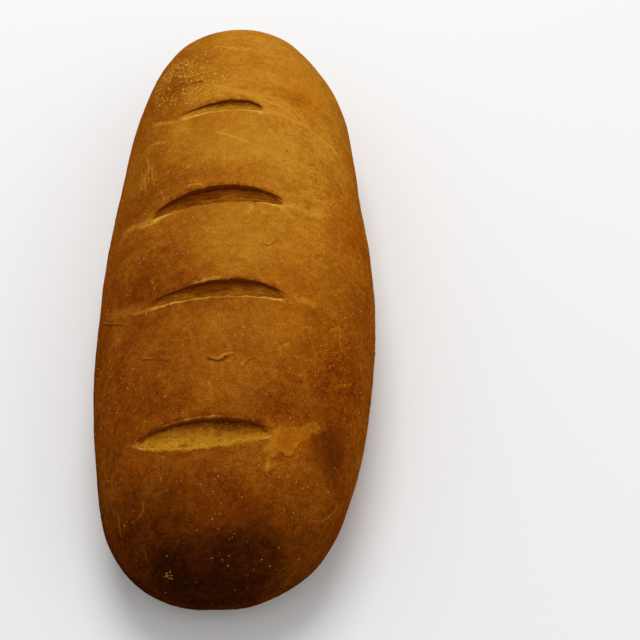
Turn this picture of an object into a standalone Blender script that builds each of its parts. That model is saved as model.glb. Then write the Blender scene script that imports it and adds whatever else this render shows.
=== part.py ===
"""A rye bread loaf, long and oval, with a domed crust scored four times across the top.

Metres, +Z up. The loaf lies along Y and stands on its flat base at Z = 0, below the middle of its box.
"""

import math

import bmesh
import bpy

MM = 0.001

# Driving sizes of the whole loaf.
LENGTH = 352 * MM
WIDTH = 142 * MM
HEIGHT = 96 * MM
WAIST = 0.38 * HEIGHT            # height of the widest line round the loaf

# Outline seen from above, then the outline of the crown: (station of the fullest section,
# near power, near root, far power, far root). Stations run from -1 at the near end to +1 at the far end.
PLAN = (-0.07, 2.87, 2.9, 1.7, 3.0)
CROWN = (0.12, 2.65, 2.15, 2.8, 2.0)
KEEL = (0.0, 5.0, 5.0, 5.0, 5.0)
DOME_POWER = 2.05                # section above the waist, 2 would be an ellipse
SIDE_POWER = 2.9                 # section below the waist, squarer
UNDERCUT = 1.10                  # how far the lower section would reach below the flat base
LEAN_NEAR = -8.3 * MM            # sideways drift of the middle line at each end
LEAN_FAR = -3.1 * MM

# Soft unevenness of the dough: (angle round the section in degrees, 90 is the top, y, radius, rise).
LUMPS = (
    (12, 119 * MM, 32 * MM, 2.2 * MM),
    (25, 148 * MM, 20 * MM, -0.7 * MM),
    (5, 56 * MM, 30 * MM, -1.5 * MM),
    (0, -34 * MM, 32 * MM, 0.8 * MM),
    (168, 126 * MM, 20 * MM, -0.1 * MM),
    (178, 62 * MM, 34 * MM, -1.2 * MM),
    (180, -42 * MM, 30 * MM, 0.5 * MM),
    (182, -114 * MM, 30 * MM, -1.8 * MM),
    (200, -138 * MM, 20 * MM, 1.4 * MM),
    (-12, -150 * MM, 20 * MM, 1.2 * MM),
    (206, -168 * MM, 16 * MM, -0.4 * MM),
    (-28, -168 * MM, 18 * MM, -0.6 * MM),
    (62, -20 * MM, 38 * MM, 0.9 * MM),
    (118, 48 * MM, 36 * MM, -0.9 * MM),
    (75, -80 * MM, 26 * MM, 0.8 * MM),
)

# The four scores, far end first: middle x, half length, y of the line that joins its two ends,
# slope of that line, how far the far lip and the near edge bow away from it, lean of the bow, depth.
SCORES = (
    {"x": -11.0 * MM, "half": 24 * MM, "y": 76.3 * MM, "slope": 0.01,
     "far": 5.5 * MM, "near": -0.7 * MM, "lean": 0.42, "depth": 1.9 * MM},
    {"x": -9.4 * MM, "half": 34.4 * MM, "y": 11.5 * MM, "slope": 0.052,
     "far": 10.0 * MM, "near": -1.4 * MM, "lean": 0.01, "depth": 2.7 * MM},
    {"x": -7.9 * MM, "half": 33.3 * MM, "y": -44.6 * MM, "slope": 0.017,
     "far": 7.2 * MM, "near": -0.1 * MM, "lean": 0.17, "depth": 2.3 * MM},
    {"x": -12.3 * MM, "half": 32.3 * MM, "y": -116.4 * MM, "slope": 0.050,
     "far": 5.3 * MM, "near": 6.7 * MM, "lean": 0.0, "depth": 2.6 * MM},
)
BOW_POWER = 0.8                  # roundness of a lip between its two ends
# Rings that follow a score, near side first: (own offset along the loaf, share of the near bow,
# share of the far bow, share of the depth). A negative depth is the raised lip.
SCORE_RINGS = (
    (-8.0 * MM, 0.6, 0.0, 0.00),
    (-2.6 * MM, 1.0, 0.0, -0.08),
    (-0.8 * MM, 1.0, 0.0, 0.06),
    (0.0 * MM, 0.7, 0.1, 0.45),
    (0.6 * MM, 0.2, 0.5, 0.80),
    (1.2 * MM, 0.0, 0.85, 1.00),
    (1.6 * MM, 0.0, 1.03, 0.80),
    (2.0 * MM, 0.0, 0.96, -0.30),
    (3.4 * MM, 0.0, 1.04, -0.42),
    (7.0 * MM, 0.0, 0.95, -0.22),
    (13.0 * MM, 0.0, 0.6, 0.00),
)

PLAIN_GAP = 12 * MM              # spacing of the plain rings between two scores
END_RINGS = 11                   # plain rings from the last score to each end
DOME_STEPS = 32                  # columns over the dome, from waist to waist
SIDE_STEPS = 6                   # columns from the waist down to the edge of the base
STEEPEST = math.radians(75)      # lowest column of a section whose underside is still round
ON_TABLE = 0.01 * MM             # a point lower than this lies in the base

CRUST_COLOUR = (0.36, 0.145, 0.022, 1.0)
CRUST_ROUGHNESS = 0.62


def fullness(station, outline):
    """Share of the full size, 1 at the fullest station and 0 at both ends."""
    fullest, near_power, near_root, far_power, far_root = outline
    if station < fullest:
        away = (fullest - station) / (1 + fullest)
        power, root = near_power, near_root
    else:
        away = (station - fullest) / (1 - fullest)
        power, root = far_power, far_root
    return max(0.0, 1 - min(away, 1.0) ** power) ** (1 / root)


def signed_power(value, power):
    return math.copysign(abs(value) ** power, value)


def section(y, angle):
    """Point of the smooth loaf at y, at an angle round its section. 0 is +X and 90 degrees is the top."""
    station = max(-1.0, min(1.0, 2 * y / LENGTH))
    half_width = fullness(station, PLAN) * WIDTH / 2
    drift = (LEAN_NEAR if station < 0 else LEAN_FAR) * station ** 2
    cosine, sine = math.cos(angle), math.sin(angle)
    if sine >= 0:
        rise = fullness(station, CROWN) * (HEIGHT - WAIST)
        shape = 2 / DOME_POWER
    else:
        rise = fullness(station, KEEL) * WAIST * UNDERCUT
        shape = 2 / SIDE_POWER
    x = drift + half_width * signed_power(cosine, shape)
    z = WAIST + rise * signed_power(sine, shape)
    return x, y, max(0.0, z)


def base_angle(y):
    """Angle below the waist where the section at y meets the flat base, or the steepest one used."""
    reach = fullness(max(-1.0, min(1.0, 2 * y / LENGTH)), KEEL) * UNDERCUT
    if reach <= 1:
        return STEEPEST
    return min(STEEPEST, math.asin((1 / reach) ** (SIDE_POWER / 2)))


def column_angle(column, y):
    """Angle of a column: over the dome, down the left side, the middle of the base, up the right side."""
    if column <= DOME_STEPS:
        return math.pi * column / DOME_STEPS
    side = column - DOME_STEPS
    if side <= SIDE_STEPS:
        return math.pi + base_angle(y) * side / SIDE_STEPS
    if side == SIDE_STEPS + 1:
        return 1.5 * math.pi
    return 2 * math.pi - base_angle(y) * (2 * SIDE_STEPS + 2 - side) / SIDE_STEPS


def bow(score, x):
    """Share of a score's opening at x: 0 at its two ends, 1 at its middle."""
    across = (x - score["x"]) / score["half"]
    if abs(across) >= 1:
        return 0.0
    across -= score["lean"] * (1 - across ** 2)
    return (1 - across ** 2) ** BOW_POWER


def outward(point):
    """Unit direction that leaves the loaf at a point of its skin."""
    x, y, z = point
    inner = 0.55 * LENGTH / 2
    along = y - max(-inner, min(inner, y))
    size = math.sqrt(x * x + along * along + (z - WAIST) ** 2)
    return x / size, along / size, (z - WAIST) / size


def lumpy(point):
    """The point moved in or out by the soft lumps of the dough. The base stays flat."""
    move = 0.0
    for angle, y, radius, rise in LUMPS:
        away = math.dist(point, section(y, math.radians(angle)))
        move += rise * math.exp(-(away / radius) ** 2)
    x, y, z = (value + move * part for value, part in zip(point, outward(point)))
    return x, y, max(0.0, z) if point[2] > ON_TABLE else 0.0


def ring_list():
    """Every ring from the near end to the far end: (y, score or None, its row in SCORE_RINGS)."""
    rings = []
    for score in reversed(SCORES):
        for row in SCORE_RINGS:
            rings.append((score["y"] + row[0], score, row))
    for far, near in zip(SCORES, SCORES[1:]):
        start = near["y"] + SCORE_RINGS[-1][0] + near["far"] * SCORE_RINGS[-1][2]
        end = far["y"] + SCORE_RINGS[0][0] - far["near"] * SCORE_RINGS[0][1]
        gaps = max(2, round((end - start) / PLAIN_GAP))
        for step in range(1, gaps):
            rings.append((start + (end - start) * step / gaps, None, None))
    tips = (
        (-1, SCORES[-1]["y"] + SCORE_RINGS[0][0] - SCORES[-1]["near"]),
        (1, SCORES[0]["y"] + SCORE_RINGS[-1][0] + SCORES[0]["far"]),
    )
    for side, last in tips:
        zone = LENGTH / 2 - side * last
        for step in range(1, END_RINGS):
            rings.append((side * (LENGTH / 2 - zone * (step / END_RINGS) ** 2.6), None, None))
    return sorted(rings, key=lambda ring: ring[0])


def ring_point(ring, column):
    """One point of the finished skin, with the score that its ring follows."""
    y, score, row = ring
    angle = column_angle(column, y)
    point = section(y, angle)
    if score is None or column > DOME_STEPS:
        return lumpy(point)
    _, near_share, far_share, depth_share = row
    share = bow(score, point[0])
    beside = max(-score["half"], min(score["half"], point[0] - score["x"]))
    y += score["slope"] * beside * math.sin(angle) ** 2
    y += share * (far_share * score["far"] - near_share * score["near"])
    x, y, z = lumpy(section(y, angle))
    return x, y, z - depth_share * score["depth"] * share ** 0.7


def loaf_mesh():
    mesh = bmesh.new()
    columns = DOME_STEPS + 2 * SIDE_STEPS + 2
    rows = []
    for ring in ring_list():
        rows.append([mesh.verts.new(ring_point(ring, column)) for column in range(columns)])
    near_tip = mesh.verts.new((LEAN_NEAR, -LENGTH / 2, WAIST))
    far_tip = mesh.verts.new((LEAN_FAR, LENGTH / 2, WAIST))
    for column in range(columns):
        beside = (column + 1) % columns
        mesh.faces.new((near_tip, rows[0][beside], rows[0][column]))
        mesh.faces.new((far_tip, rows[-1][column], rows[-1][beside]))
        for row, next_row in zip(rows, rows[1:]):
            mesh.faces.new((row[column], row[beside], next_row[beside], next_row[column]))
    return mesh


def fit_to_sizes(mesh):
    """Centres the loaf over the origin and brings its box to the driving sizes."""
    spans = []
    for axis in range(3):
        values = [vertex.co[axis] for vertex in mesh.verts]
        spans.append((min(values), max(values)))
    for vertex in mesh.verts:
        for axis, size in enumerate((WIDTH, LENGTH, HEIGHT)):
            low, high = spans[axis]
            start = 0.0 if axis == 2 else -size / 2
            vertex.co[axis] = start + (vertex.co[axis] - low) / (high - low) * size


def flatten_base(mesh):
    """Makes the faces that lie on the table one flat face."""
    resting = [face for face in mesh.faces if all(vertex.co.z < ON_TABLE for vertex in face.verts)]
    for vertex in {vertex for face in resting for vertex in face.verts}:
        vertex.co.z = 0.0
    bmesh.ops.dissolve_faces(mesh, faces=resting, use_verts=False)


def crust_material():
    material = bpy.data.materials.new("rye_crust")
    material.use_nodes = True
    shader = material.node_tree.nodes["Principled BSDF"]
    shader.inputs["Base Color"].default_value = CRUST_COLOUR
    shader.inputs["Roughness"].default_value = CRUST_ROUGHNESS
    shader.inputs["Metallic"].default_value = 0.0
    return material


def build_loaf():
    mesh = loaf_mesh()
    fit_to_sizes(mesh)
    bmesh.ops.recalc_face_normals(mesh, faces=mesh.faces[:])
    flatten_base(mesh)
    data = bpy.data.meshes.new("loaf")
    mesh.to_mesh(data)
    mesh.free()
    data.materials.append(crust_material())
    data.shade_smooth()
    data.set_sharp_from_angle(angle=math.radians(40))
    loaf = bpy.data.objects.new("loaf", data)
    bpy.context.scene.collection.objects.link(loaf)
    return loaf


for old in list(bpy.data.objects):
    bpy.data.objects.remove(old)
build_loaf()
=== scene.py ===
import math
import bpy
import numpy as np
from mathutils import Matrix, Vector
from mathutils.bvhtree import BVHTree


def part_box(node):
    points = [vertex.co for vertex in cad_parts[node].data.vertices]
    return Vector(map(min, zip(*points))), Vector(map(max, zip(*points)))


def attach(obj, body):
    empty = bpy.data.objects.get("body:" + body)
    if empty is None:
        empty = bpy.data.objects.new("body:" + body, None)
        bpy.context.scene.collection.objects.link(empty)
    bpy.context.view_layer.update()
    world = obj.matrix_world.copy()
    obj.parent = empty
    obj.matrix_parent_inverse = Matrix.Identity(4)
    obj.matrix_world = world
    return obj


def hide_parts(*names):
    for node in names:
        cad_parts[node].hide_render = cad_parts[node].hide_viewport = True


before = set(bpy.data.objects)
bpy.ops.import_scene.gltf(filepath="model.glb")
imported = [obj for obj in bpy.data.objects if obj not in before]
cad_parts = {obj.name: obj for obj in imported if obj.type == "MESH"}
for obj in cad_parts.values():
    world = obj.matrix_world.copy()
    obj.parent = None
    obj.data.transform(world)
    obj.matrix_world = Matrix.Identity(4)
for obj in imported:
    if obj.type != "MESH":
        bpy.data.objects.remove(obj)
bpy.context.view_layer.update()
mm = 0.001
farAway = 99        # own offset in mm of what belongs to no score


def nothingSelected():
    if bpy.context.object and bpy.context.object.mode != "OBJECT":
        bpy.ops.object.mode_set(mode="OBJECT")
    bpy.ops.object.select_all(action="DESELECT")


def pick(piece):
    nothingSelected()
    piece.select_set(True)
    bpy.context.view_layer.objects.active = piece


def pointsOf(piece):
    places = np.zeros(len(piece.data.vertices) * 3)
    piece.data.vertices.foreach_get("co", places)
    return places.reshape(-1, 3)


def normalsOf(piece):
    normals = np.zeros(len(piece.data.vertices) * 3)
    piece.data.vertices.foreach_get("normal", normals)
    return normals.reshape(-1, 3)


def movePoints(piece, places):
    piece.data.vertices.foreach_set("co", places.astype(np.float32).ravel())
    piece.data.update()


def setMask(piece, name, values):
    mask = piece.data.attributes.new(name, "FLOAT", "POINT")
    mask.data.foreach_set("value", np.asarray(values, np.float32))


def readMask(piece, name):
    values = np.zeros(len(piece.data.vertices))
    piece.data.attributes[name].data.foreach_get("value", values)
    return values


def softNoise(places, size, seed=0):
    # smooth lattice noise from -1 to 1, size is one number or one for each axis
    cell = places / np.asarray(size, float) + 31.7 * seed
    corner = np.floor(cell).astype(np.int64)
    part = cell - corner
    part = part * part * (3 - 2 * part)
    total = np.zeros(len(places))
    for dx in (0, 1):
        for dy in (0, 1):
            for dz in (0, 1):
                x, y, z = corner[:, 0] + dx, corner[:, 1] + dy, corner[:, 2] + dz
                mixed = (x * 73856093) ^ (y * 19349663) ^ (z * 83492791) ^ (seed * 2654435)
                mixed = (mixed ^ (mixed >> 13)) * 1274126177
                value = ((mixed ^ (mixed >> 16)) & 65535) / 65535
                weight = (np.where(dx, part[:, 0], 1 - part[:, 0])
                          * np.where(dy, part[:, 1], 1 - part[:, 1])
                          * np.where(dz, part[:, 2], 1 - part[:, 2]))
                total += value * weight
    return 2 * total - 1


# the photograph's view of the loaf
photo = {
    "elevation": 55,       # degrees above the table
    "distance": 0.9,
    "focalPixels": 1733.5,
    "pictureWidth": 640,
    "sensor": 36,
    "aim": (0.0425, -0.0217, 0.04),
}


def addCamera():
    elevation = math.radians(photo["elevation"])
    forward = Vector((0, math.cos(elevation), -math.sin(elevation)))
    data = bpy.data.cameras.new("photoView")
    data.sensor_width = photo["sensor"]
    data.lens = photo["focalPixels"] / photo["pictureWidth"] * photo["sensor"]
    camera = bpy.data.objects.new("photoView", data)
    camera.location = Vector(photo["aim"]) - forward * photo["distance"]
    camera.rotation_euler = (math.radians(90) - elevation, 0, 0)
    bpy.context.scene.collection.objects.link(camera)
    bpy.context.scene.camera = camera


# form of the loaf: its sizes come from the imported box, the rest is shares of it and small lengths
low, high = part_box("loaf")
length, width, height = high.y - low.y, high.x - low.x, high.z - low.z
waist = 0.38 * height

form = {
    # fullest station, near power and root, far power and root
    "plan": (-0.07, 2.87, 2.9, 1.7, 3.0),
    "crown": (0.12, 2.65, 2.15, 2.8, 2.0),
    "keel": (0.0, 5.0, 5.0, 5.0, 5.0),
    "domePower": 2.05,
    "sidePower": 2.9,
    "undercut": 1.10,
    "middle": -0.5 * mm,
    "leanNear": -8.3 * mm,
    "leanFar": -3.1 * mm,
    "steepest": math.radians(75),
    # angle round the section in degrees, y, radius and rise of each soft lump
    "lumps": (
        (12, 119 * mm, 32 * mm, 2.2 * mm),
        (25, 148 * mm, 20 * mm, -0.7 * mm),
        (5, 56 * mm, 30 * mm, -1.5 * mm),
        (0, -34 * mm, 32 * mm, 0.8 * mm),
        (168, 126 * mm, 20 * mm, -0.1 * mm),
        (178, 62 * mm, 34 * mm, -1.2 * mm),
        (180, -42 * mm, 30 * mm, 0.5 * mm),
        (182, -114 * mm, 30 * mm, -1.8 * mm),
        (200, -138 * mm, 20 * mm, 1.4 * mm),
        (-12, -150 * mm, 20 * mm, 1.2 * mm),
        (206, -168 * mm, 16 * mm, -0.4 * mm),
        (-28, -168 * mm, 18 * mm, -0.6 * mm),
        (62, -20 * mm, 38 * mm, 0.9 * mm),
        (118, 48 * mm, 36 * mm, -0.9 * mm),
        (75, -80 * mm, 26 * mm, 0.8 * mm),
    ),
}

# far end first: middle x, half length, y of the line between its ends, slope of that line,
# bow of the far lip and of the near edge, lean of the bow, depth, seed of its unevenness
scores = (
    {"x": -11.0 * mm, "half": 24 * mm, "y": 76.3 * mm, "slope": 0.01,
     "far": 5.5 * mm, "near": -0.7 * mm, "lean": 0.42, "depth": 1.9 * mm, "seed": 3},
    {"x": -9.4 * mm, "half": 34.4 * mm, "y": 11.5 * mm, "slope": 0.052,
     "far": 10.0 * mm, "near": -1.4 * mm, "lean": 0.01, "depth": 2.7 * mm, "seed": 5},
    {"x": -7.9 * mm, "half": 33.3 * mm, "y": -44.6 * mm, "slope": 0.017,
     "far": 7.2 * mm, "near": -0.1 * mm, "lean": 0.17, "depth": 2.3 * mm, "seed": 8},
    {"x": -12.3 * mm, "half": 32.3 * mm, "y": -116.4 * mm, "slope": 0.050,
     "far": 5.3 * mm, "near": 6.7 * mm, "lean": 0.0, "depth": 2.6 * mm, "seed": 13},
)
bowPower = 0.8

# what a ring beside a score does at its own offset along the loaf (mm): share of the near bow,
# of the far bow, of the depth (negative stands up) and of the slope
scoreProfile = np.array((
    (-24, 0.00, 0.00, 0.00, 0.0),
    (-12, 0.35, 0.00, 0.00, 1.0),
    (-6.0, 0.80, 0.00, -0.02, 1.0),
    (-3.0, 1.00, 0.00, -0.07, 1.0),
    (-1.7, 1.00, 0.00, -0.12, 1.0),
    (-1.1, 1.00, 0.00, -0.12, 1.0),
    (-0.8, 0.99, 0.00, 0.02, 1.0),
    (-0.5, 0.95, 0.00, 0.24, 1.0),
    (0.0, 0.75, 0.06, 0.46, 1.0),
    (0.4, 0.45, 0.28, 0.60, 1.0),
    (0.8, 0.20, 0.55, 0.74, 1.0),
    (1.2, 0.03, 0.85, 0.92, 1.0),
    (1.5, 0.00, 1.00, 1.00, 1.0),
    (1.65, 0.00, 1.06, 0.80, 1.0),
    (1.80, 0.00, 1.05, 0.22, 1.0),
    (1.92, 0.00, 0.985, -0.08, 1.0),
    (2.05, 0.00, 0.965, -0.20, 1.0),
    (2.35, 0.00, 0.98, -0.28, 1.0),
    (3.2, 0.00, 1.03, -0.30, 1.0),
    (5.0, 0.00, 1.02, -0.22, 1.0),
    (8.0, 0.00, 0.90, -0.09, 1.0),
    (13, 0.00, 0.62, -0.01, 0.8),
    (20, 0.00, 0.30, 0.00, 0.5),
    (30, 0.00, 0.00, 0.00, 0.0),
))


def fullness(station, outline):
    fullest, nearPower, nearRoot, farPower, farRoot = outline
    near = station < fullest
    away = np.where(near, (fullest - station) / (1 + fullest), (station - fullest) / (1 - fullest))
    power = np.where(near, nearPower, farPower)
    root = np.where(near, nearRoot, farRoot)
    return np.maximum(0, 1 - np.clip(away, 0, 1) ** power) ** (1 / root)


def signedPower(value, power):
    return np.sign(value) * np.abs(value) ** power


def section(y, turn):
    # point of the smooth loaf at y, turned round its section from +X over the top
    station = np.clip(2 * y / length, -1, 1)
    halfWidth = fullness(station, form["plan"]) * width / 2
    drift = np.where(station < 0, form["leanNear"], form["leanFar"]) * station ** 2
    cosine, sine = np.cos(turn), np.sin(turn)
    above = sine >= 0
    crown = fullness(station, form["crown"]) * (height - waist)
    keel = fullness(station, form["keel"]) * waist * form["undercut"]
    power = np.where(above, 2 / form["domePower"], 2 / form["sidePower"])
    x = form["middle"] + drift + halfWidth * signedPower(cosine, power)
    z = waist + np.where(above, crown, keel) * signedPower(sine, power)
    return np.stack([x, y, np.maximum(z, 0)], -1)


def turnAt(x, y):
    # the turn of the upper surface's point over (x, y)
    station = np.clip(2 * y / length, -1, 1)
    drift = form["middle"] + np.where(station < 0, form["leanNear"], form["leanFar"]) * station ** 2
    halfWidth = np.maximum(fullness(station, form["plan"]) * width / 2, mm)
    return np.arccos(signedPower(np.clip((x - drift) / halfWidth, -1, 1), form["domePower"] / 2))


def outward(places):
    inner = 0.55 * length / 2
    along = places[:, 1] - np.clip(places[:, 1], -inner, inner)
    away = np.stack([places[:, 0], along, places[:, 2] - waist], -1)
    return away / np.linalg.norm(away, axis=1, keepdims=True)


def lumpy(places):
    move = np.zeros(len(places))
    for angle, y, radius, rise in form["lumps"]:
        middle = section(np.array([y]), np.array([math.radians(angle)]))[0]
        away = np.linalg.norm(places - middle, axis=1)
        move += rise * np.exp(-(away / radius) ** 2)
    moved = places + outward(places) * move[:, None]
    moved[:, 2] = np.where(places[:, 2] > 0.01 * mm, np.maximum(moved[:, 2], 0), 0)
    return moved


def bow(score, x):
    across = (x - score["x"]) / score["half"]
    inside = np.abs(across) < 1
    across = across - score["lean"] * (1 - across ** 2)
    return np.where(inside, np.clip(1 - across ** 2, 0, 1) ** bowPower, 0)


def wobble(x, lengths, seed):
    # uneven wavy line, about -1 to 1
    waves = (np.sin(2 * math.pi * x / step + seed * (n + 1.7)) / (n + 1) for n, step in enumerate(lengths))
    return sum(waves) / 1.6


def band(own, limits, values=(0, 1, 1, 0)):
    # what fades in and out beside a score, own and limits in mm
    return np.interp(own, limits, values)


# unevenness of the far lip and of the near edge, and of the lip's height
lipWave = {"band": (0.9, 1.7, 2.4, 6.0), "height": 0.32 * mm, "lengths": (11 * mm, 5.2 * mm, 2.9 * mm)}
edgeWave = {"band": (-3.0, -1.1, -0.4, 0.5), "height": 0.40 * mm, "lengths": (9 * mm, 4.3 * mm, 2.3 * mm)}
depthWave = {"share": 0.12, "lengths": (8 * mm, 3.7 * mm)}


def scorePoint(score, own, turn):
    # own is the ring's own offset from the score's line, in metres
    nearShare, farShare, depthShare, slopeShare = (
        np.interp(own / mm, scoreProfile[:, 0], scoreProfile[:, column]) for column in (1, 2, 3, 4))
    y = score["y"] + own
    x = section(y, turn)[:, 0]
    onDome = np.sin(turn) > 0
    share = np.where(onDome, bow(score, x), 0)
    beside = np.clip(x - score["x"], -score["half"], score["half"])
    lip, edge = (band(own / mm, wave["band"]) * share ** 0.5 for wave in (lipWave, edgeWave))
    y = y + slopeShare * score["slope"] * beside * np.where(onDome, np.sin(turn), 0) ** 2
    y = y + share * (farShare * score["far"] - nearShare * score["near"])
    y = y + lip * lipWave["height"] * wobble(x, lipWave["lengths"], score["seed"])
    y = y + edge * edgeWave["height"] * wobble(x, edgeWave["lengths"], score["seed"] + 1)
    places = lumpy(section(y, turn))
    uneven = 1 + depthWave["share"] * lip * wobble(x, depthWave["lengths"], score["seed"] + 2)
    places[:, 2] -= depthShare * score["depth"] * share ** 0.7 * uneven
    return places, share


crust = {
    "domeColumns": 176,
    "sideColumns": 24,       # on each side below the waist
    "baseColumns": 12,       # all columns together are a multiple of four, as the round sphere needs
    # own offsets of the rings round each score, as start, end and step in mm
    "scoreRings": ((-14, -6, 1.3), (-6, -3, 0.8), (-3, -1.2, 0.3), (-1.2, 1.2, 0.22), (1.2, 2.5, 0.1),
                   (2.5, 5, 0.45), (5, 10, 0.9), (10, 16, 1.2)),
    "plainStep": 1.25 * mm,
    "nearTipRings": 37,
    "farTipRings": 52,
    "tipCrowding": 1.8,      # rings lie closer together towards the tips
    "swell": (46 * mm, 1.5 * mm),    # size and height of the soft swells
    "ripple": (13 * mm, 0.42 * mm),
    "wrinkle": (4.2 * mm, 0.16 * mm),
    "smoothFoot": 9 * mm,    # height over which they begin
    # own offsets in mm of the smooth groove and of what is painted round a score
    "grooveBand": (-4.5, -1.6, 2.6, 6.0),
    "wallBand": (-0.9, -0.3, 1.7, 1.9),
    # the lip band carries a painted highlight along the top of the far lip
    "lipBand": (1.82, 1.95, 2.1, 2.5),
    # the brow band is painted shade on the rolled edge over each lip
    "browBand": (1.8, 2.0, 2.7, 4.6),
    "browValues": (0, 1, 0.55, 0),
    # golden near edge of each score, partly less baked crust and partly painted highlight where it faces the
    # light: mm in its middle, and how much more at its ends
    "rims": ((1.8, 2.0), (0.5, 3.6), (1.6, 1.4), (1.0, 0.5)),
    "rimEnd": -0.15,         # its own offset on the side of the score, and how soft it is
    "rimSoftness": 0.5,
    # how fast the dark wall of each score begins and how far inside its ends
    "wallEnds": ((4, 0.6), (4, 0.6), (4, 0.6), (3, 1.1)),
}


def ringLayout():
    # y of every ring at the side of the loaf, the score that it follows (-1 for none) and its own offset
    bottom, farTop = scoreProfile[0, 0] * mm, scoreProfile[-1, 0] * mm
    rings = []
    for number, score in enumerate(scores):
        # a score's rings reach up to those of the score before it
        top = farTop if number == 0 else (scores[number - 1]["y"] - score["y"]) + bottom
        own = []
        for start, end, step in crust["scoreRings"]:
            own.extend(np.arange(start, end - 0.3 * step, step) * mm)
        first, last = own[0], crust["scoreRings"][-1][1] * mm
        below = max(2, round((first - bottom) / crust["plainStep"]))
        above = max(2, round((top - last) / crust["plainStep"]))
        own = [*np.linspace(bottom, first, below + 1)[:-1], *own, *np.linspace(last, top, above + 1)[:-1]]
        rings.extend((score["y"] + offset, number, offset) for offset in own)
    # the near tip shares its last ring with the last score
    for side, last, count in ((-1, scores[-1]["y"] + bottom, crust["nearTipRings"]),
                              (1, scores[0]["y"] + farTop, crust["farTipRings"])):
        zone = length / 2 - side * last
        steps = np.arange(1, count + (side > 0)) / count
        rings.extend((side * (length / 2 - zone * step ** crust["tipCrowding"]), -1, 0.0) for step in steps)
    return sorted(rings)


def columnTurns(y):
    # the angles of all columns at rings y: over the dome, down the left side, the base, up the right side
    reach = fullness(np.clip(2 * y / length, -1, 1), form["keel"]) * form["undercut"]
    steep = np.arcsin(np.clip(1 / np.maximum(reach, 1e-6), 0, 1) ** (form["sidePower"] / 2))
    steep = np.where(reach > 1, np.minimum(steep, form["steepest"]), form["steepest"])[:, None]
    dome, side, base = (np.arange(crust[name + "Columns"]) / crust[name + "Columns"]
                        for name in ("dome", "side", "base"))
    return np.concatenate([
        np.repeat(dome[None, :] * math.pi, len(y), 0),
        math.pi + steep * side[None, :],
        math.pi + steep + (math.pi - 2 * steep) * base[None, :],
        2 * math.pi - steep * (1 - side[None, :]),
    ], 1)


def toBox(places, fit):
    # the loaf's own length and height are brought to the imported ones
    share = (places - fit["from"]) / fit["size"]
    placed = np.array(low) + share * np.array((width, length, height))
    placed[:, 0] = places[:, 0]
    return placed


def buildCrust():
    # a round ball whose rings and columns are laid on the loaf
    rings = ringLayout()
    columns = crust["domeColumns"] + 2 * crust["sideColumns"] + crust["baseColumns"]
    nothingSelected()
    bpy.ops.mesh.primitive_uv_sphere_add(segments=columns, ring_count=len(rings) + 1, radius=1,
                                         rotation=(math.radians(90), 0, 0))
    piece = bpy.context.object
    piece.name = piece.data.name = "crust"
    bpy.ops.object.transform_apply(location=True, rotation=True, scale=True)
    ball = pointsOf(piece)
    ringOf = np.rint(np.arccos(np.clip(-ball[:, 1], -1, 1)) * (len(rings) + 1) / math.pi).astype(int)
    columnOf = np.rint(np.arctan2(ball[:, 2], ball[:, 0]) * columns / (2 * math.pi)).astype(int) % columns
    ringY, ringScore, ringOwn = np.array([(-length / 2, -1, 0), *rings, (length / 2, -1, 0)]).T
    scoreOf, ownOf = ringScore[ringOf].astype(int), ringOwn[ringOf]
    turns = columnTurns(ringY)[ringOf, columnOf]
    places = lumpy(section(ringY[ringOf], turns))
    share = np.zeros(len(places))
    for number, score in enumerate(scores):
        near = scoreOf == number
        places[near], share[near] = scorePoint(score, ownOf[near], turns[near])
    fit = {"from": places.min(0), "size": places.max(0) - places.min(0)}
    places = toBox(places, fit)
    movePoints(piece, places)
    paintScores(piece, scoreOf, np.where(scoreOf >= 0, ownOf / mm, farAway), share)
    groove = band(ownOf / mm, crust["grooveBand"]) * np.clip(share * 2.5, 0, 1)
    roughen(piece, groove, places)
    print("crust:", len(rings), "rings,", columns, "columns,", 2 * len(rings) * columns, "triangles")
    return piece, fit


def paintScores(piece, scoreOf, own, share):
    # the golden edge, partly painted highlight, is wider towards the ends of a score
    wide, wider = np.array(crust["rims"]).T[:, np.maximum(scoreOf, 0)]
    rim = np.minimum(own + wide + wider * (1 - share), crust["rimEnd"] - own) / crust["rimSoftness"]
    setMask(piece, "rim", np.clip(rim, 0, 1) * np.clip(share * 5, 0, 1))
    # the dark wall begins a little inside the ends
    slope, start = np.array(crust["wallEnds"]).T[:, np.maximum(scoreOf, 0)]
    setMask(piece, "cut", band(own, crust["wallBand"]) * np.clip(share * slope - start, 0, 1))
    # painted highlight along the top of the far lip
    setMask(piece, "lip", band(own, crust["lipBand"]) * np.clip(share * 3, 0, 1))
    # painted shade on the rolled edge over the lip
    setMask(piece, "browShade", band(own, crust["browBand"], crust["browValues"]) * np.clip(share * 2, 0, 1))


def roughen(piece, groove, places):
    # soft swells, ripples and wrinkles, none on the base and little in the scores
    free = piece.vertex_groups.new(name="free")
    weights = np.clip(places[:, 2] / crust["smoothFoot"], 0, 1) * (1 - 0.9 * groove)
    for number, weight in enumerate(weights):
        if weight > 0.001:
            free.add([number], float(weight), "REPLACE")
    pick(piece)
    for name in ("swell", "ripple", "wrinkle"):
        size, rise = crust[name]
        texture = bpy.data.textures.new(name, "CLOUDS")
        texture.noise_scale = size
        texture.noise_depth = 1
        move = piece.modifiers.new(name, "DISPLACE")
        move.texture = texture
        move.strength = rise
        move.mid_level = 0.5
        move.vertex_group = "free"
        bpy.ops.object.modifier_apply(modifier=name)
    bpy.ops.object.shade_smooth()


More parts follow.
